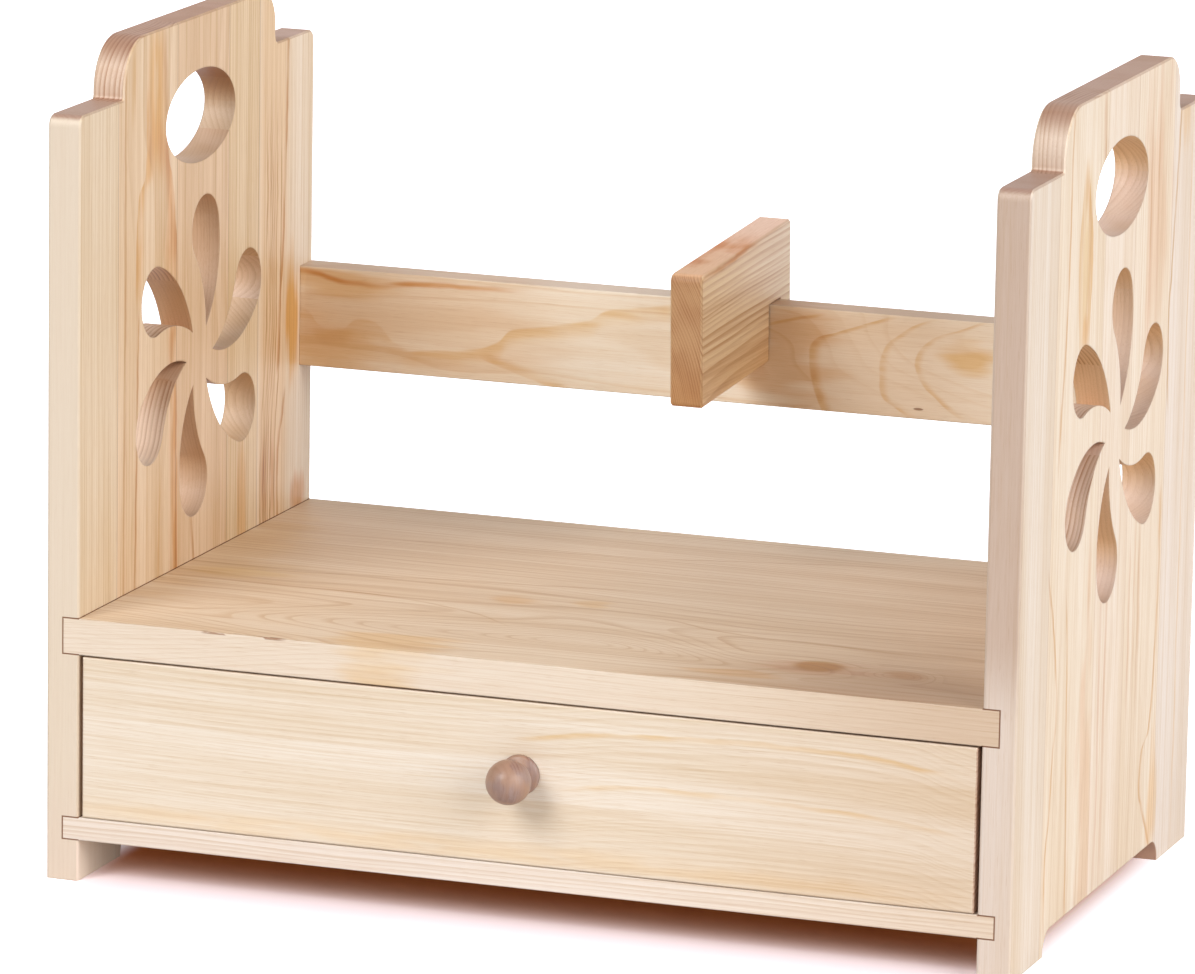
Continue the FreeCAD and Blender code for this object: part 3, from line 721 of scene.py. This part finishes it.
# ---- Knob
# A ball knob turned in one piece from brown beech: ball, waisted neck and flange. It sits on the
# drawer's front, on the rack's middle, and a screw from inside the drawer draws it tight.

knob_low, knob_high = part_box("knob")
knob_axis = Vector((0, 0, (knob_low.z + knob_high.z) / 2))
ball_radius = (knob_high.z - knob_low.z) / 2
ball_centre = knob_axis + Vector((0, knob_low.y + ball_radius, 0))
seat = knob_high.y
ball_arc, arc_steps, steps_around = math.radians(150), 28, 64

# Radius and distance before the seat, from the neck to the flange's rim.
neck_profile = (
    (0.0046, 0.0057), (0.0045, 0.0051), (0.0048, 0.0044), (0.0056, 0.0037), (0.0065, 0.0032),
    (0.0073, 0.0029), (0.0080, 0.00264), (0.00864, 0.0022), (0.0088, 0.0016), (0.0088, 0.0),
)
turning = bmesh.new()
tip = turning.verts.new(ball_centre - Vector((0, ball_radius, 0)))
arc = bmesh.ops.spin(
    turning, geom=[tip], cent=ball_centre, axis=(1, 0, 0), angle=-ball_arc, steps=arc_steps,
    use_duplicate=False,
)
neck = [v for v in arc["geom_last"] if isinstance(v, bmesh.types.BMVert)][0]
for radius, before_seat in neck_profile:
    point = turning.verts.new(knob_axis + Vector((0, seat - before_seat, radius)))
    turning.edges.new((neck, point))
    neck = point
bmesh.ops.spin(
    turning, geom=turning.verts[:] + turning.edges[:], cent=knob_axis, axis=(0, 1, 0),
    angle=math.tau, steps=steps_around, use_merge=True,
)
bmesh.ops.remove_doubles(turning, verts=turning.verts, dist=1e-6)
rim = [edge for edge in turning.edges if edge.is_boundary]
bmesh.ops.edgeloop_fill(turning, edges=rim)
bmesh.ops.recalc_face_normals(turning, faces=turning.faces)
for face in turning.faces:
    face.smooth = len(face.verts) < 5
knob_mesh = bpy.data.meshes.new("turned_knob")
turning.to_mesh(knob_mesh)
turning.free()
knob = bpy.data.objects.new("turned_knob", knob_mesh)
bpy.context.scene.collection.objects.link(knob)

brown_beech = Timber("knob_beech", "ZXY", 14)
brown_beech.grow(staves=((-70, -210, 0.35, tint(162, 137, 129)),), ring=2.4, wander=16)
brown_beech.show_grain(tint(206, 172, 148), tint(236, 222, 216), tint(216, 190, 176))
brown_beech.dye(brown_beech.noise(14, 7, detail=2.0).rise(0.42, 0.62) * 0.6, tint(174, 134, 106))
knob_mesh.materials.append(brown_beech.material)
brown_beech.finish([], roughness=0.36)
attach(knob, "drawer")
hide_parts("knob")


# ---- Screw and floor pins
# The zinc-plated screw that holds the knob, and three small round-headed pins driven up through
# the floor into the drawer's back.

steel = bpy.data.materials.new("zinc_plate")
steel.use_nodes = True
zinc = steel.node_tree.nodes["Principled BSDF"]
zinc.inputs["Metallic"].default_value = 1.0
plating = Signal(steel.node_tree)
where = plating.node("ShaderNodeTexCoord", {}, {}, "Object")
clouds = plating.node("ShaderNodeTexNoise", {}, {"Vector": where, "Scale": 900.0, "Detail": 2.0})
shade = clouds.mix(tint(176, 176, 180), tint(206, 204, 198))
steel.node_tree.links.new(shade.socket, zinc.inputs["Base Color"])
steel.node_tree.links.new((clouds * 0.2 + 0.22).socket, zinc.inputs["Roughness"])
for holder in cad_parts["knob_screw"].material_slots:
    holder.material = steel

back_low, back_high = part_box("drawer_back")
floor_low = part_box("drawer_floor")[0]
pin_row = (back_low.y + back_high.y) / 2
head_radius, head_flatness = 0.0028, 0.45
pin_mesh = bpy.data.meshes.new("floor_pins")
pins = bmesh.new()
for x in (-0.15, 0.0, 0.15):
    head = bmesh.ops.create_uvsphere(pins, u_segments=20, v_segments=10, radius=head_radius)["verts"]
    bmesh.ops.scale(pins, vec=(1, 1, head_flatness), verts=head)
    bmesh.ops.translate(pins, vec=(x, pin_row, floor_low.z), verts=head)
for face in pins.faces:
    face.smooth = True
pins.to_mesh(pin_mesh)
pins.free()
pin_mesh.materials.append(steel)
floor_pins = bpy.data.objects.new("floor_pins", pin_mesh)
bpy.context.scene.collection.objects.link(floor_pins)
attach(floor_pins, "drawer")


# ---- Studio
# A white paper floor that runs out of the picture, a soft key from the left of the front, a softer
# fill from its right, and a long lens that looks a little down on the rack from the right.

ground_mesh = bpy.data.meshes.new("studio_floor")
sweep = bmesh.new()
bmesh.ops.create_grid(sweep, x_segments=1, y_segments=1, size=8)
sweep.to_mesh(ground_mesh)
sweep.free()
ground = bpy.data.objects.new("studio_floor", ground_mesh)
bpy.context.scene.collection.objects.link(ground)
paper = bpy.data.materials.new("white_paper")
paper.use_nodes = True
sheet = paper.node_tree.nodes["Principled BSDF"]
ray = Signal(paper.node_tree)
seen = ray.node("ShaderNodeLightPath", {}, {}, "Is Camera Ray")
mirrored = ray.node("ShaderNodeLightPath", {}, {}, "Is Glossy Ray")
shown = ray.maths("MAXIMUM", seen, mirrored)
floor_place = ray.node("ShaderNodeTexCoord", {}, {}, "Object")

# For the camera the paper in a band under the rack is painted dark brown, a painted shadow with
# painted warm light bounced off the wood, and has a faint red glow.
# Past the rack it glows enough to read white and to lighten the rack's shadow there. To all other
# light the paper is a plain pale grey.
half_length, middle, half_depth, soft_edge = 0.2, -0.061, 0.179, 0.025
beyond_side = abs(floor_place.part("X")) - half_length
beyond_front = abs(floor_place.part("Y") - middle) - half_depth
past_rack = ray.maths("MAXIMUM", beyond_side, beyond_front).rise(0.0, soft_edge)
in_shadow = floor_place.part("Y").between(-0.099, 0.089, 0.029)
paper_with_painted_shadow = in_shadow.mix((1.2, 1.07, 1.13, 1), (0.94, 0.42, 0.17, 1))
seen_paper = past_rack.mix(paper_with_painted_shadow, (1.1, 1.12, 1.15, 1))
paper_colour = shown.mix((0.62, 0.6, 0.58, 1), seen_paper)
seen_glow = past_rack.mix((0.026, 0.0, 0.0, 1), (0.62, 0.61, 0.66, 1))
glow = shown.mix((0, 0, 0, 1), seen_glow)
paper.node_tree.links.new(paper_colour.socket, sheet.inputs["Base Color"])
paper.node_tree.links.new(glow.socket, sheet.inputs["Emission Color"])
sheet.inputs["Emission Strength"].default_value = 1.0
sheet.inputs["Roughness"].default_value = 1.0
sheet.inputs["Specular IOR Level"].default_value = 0.0
ground_mesh.materials.append(paper)


def from_rack(azimuth, elevation):
    """The direction from the rack to this side. Azimuth 0 is in front, positive to the right."""
    turn, lift = math.radians(azimuth), math.radians(elevation)
    level = math.cos(lift)
    return Vector((math.sin(turn) * level, -math.cos(turn) * level, math.sin(lift)))


def sun(name, azimuth, elevation, strength, softness):
    lamp = bpy.data.lights.new(name, "SUN")
    lamp.energy = strength
    lamp.angle = math.radians(softness)
    holder = bpy.data.objects.new(name, lamp)
    holder.rotation_euler = from_rack(azimuth, elevation).to_track_quat("Z", "Y").to_euler()
    bpy.context.scene.collection.objects.link(holder)


sun("key", -24, 38, 0.54 * math.pi, 30)
sun("fill", 68, 24, 0.68 * math.pi, 50)

# The sky gives a weak light from all sides, and the camera and mirrors see it white.
world = bpy.data.worlds.new("studio")
world.use_nodes = True
bpy.context.scene.world = world
sky = world.node_tree.nodes["Background"]
ray = Signal(world.node_tree)
seen = ray.node("ShaderNodeLightPath", {}, {}, "Is Camera Ray")
for kind in ("Is Glossy Ray", "Is Transmission Ray"):
    seen = ray.maths("MAXIMUM", seen, ray.node("ShaderNodeLightPath", {}, {}, kind))
sky.inputs["Color"].default_value = (1, 1, 1, 1)
world.node_tree.links.new((seen * 0.7 + 0.3).socket, sky.inputs["Strength"])

camera_azimuth, camera_elevation, camera_roll = 19.6013, 12.1320, 0.9725
aim, distance = Vector((-0.00824, -0.01554, 0.17082)), 3.5635
away = from_rack(camera_azimuth, camera_elevation)
turn, roll = math.radians(camera_azimuth), math.radians(camera_roll)
level = Vector((math.cos(turn), math.sin(turn), 0))
upright = away.cross(level)
right_hand = level * math.cos(roll) + upright * math.sin(roll)
head_up = upright * math.cos(roll) - level * math.sin(roll)
facing = Matrix((right_hand, head_up, away)).transposed().to_4x4()
lens = bpy.data.cameras.new("long_lens")
lens.sensor_fit = "HORIZONTAL"
lens.sensor_width = 36
lens.lens = 245.48
lens.clip_end = 60
camera = bpy.data.objects.new("camera", lens)
camera.matrix_world = Matrix.Translation(aim + away * distance) @ facing
bpy.context.scene.collection.objects.link(camera)
bpy.context.scene.camera = camera
bpy.context.scene.view_settings.view_transform = "Standard"
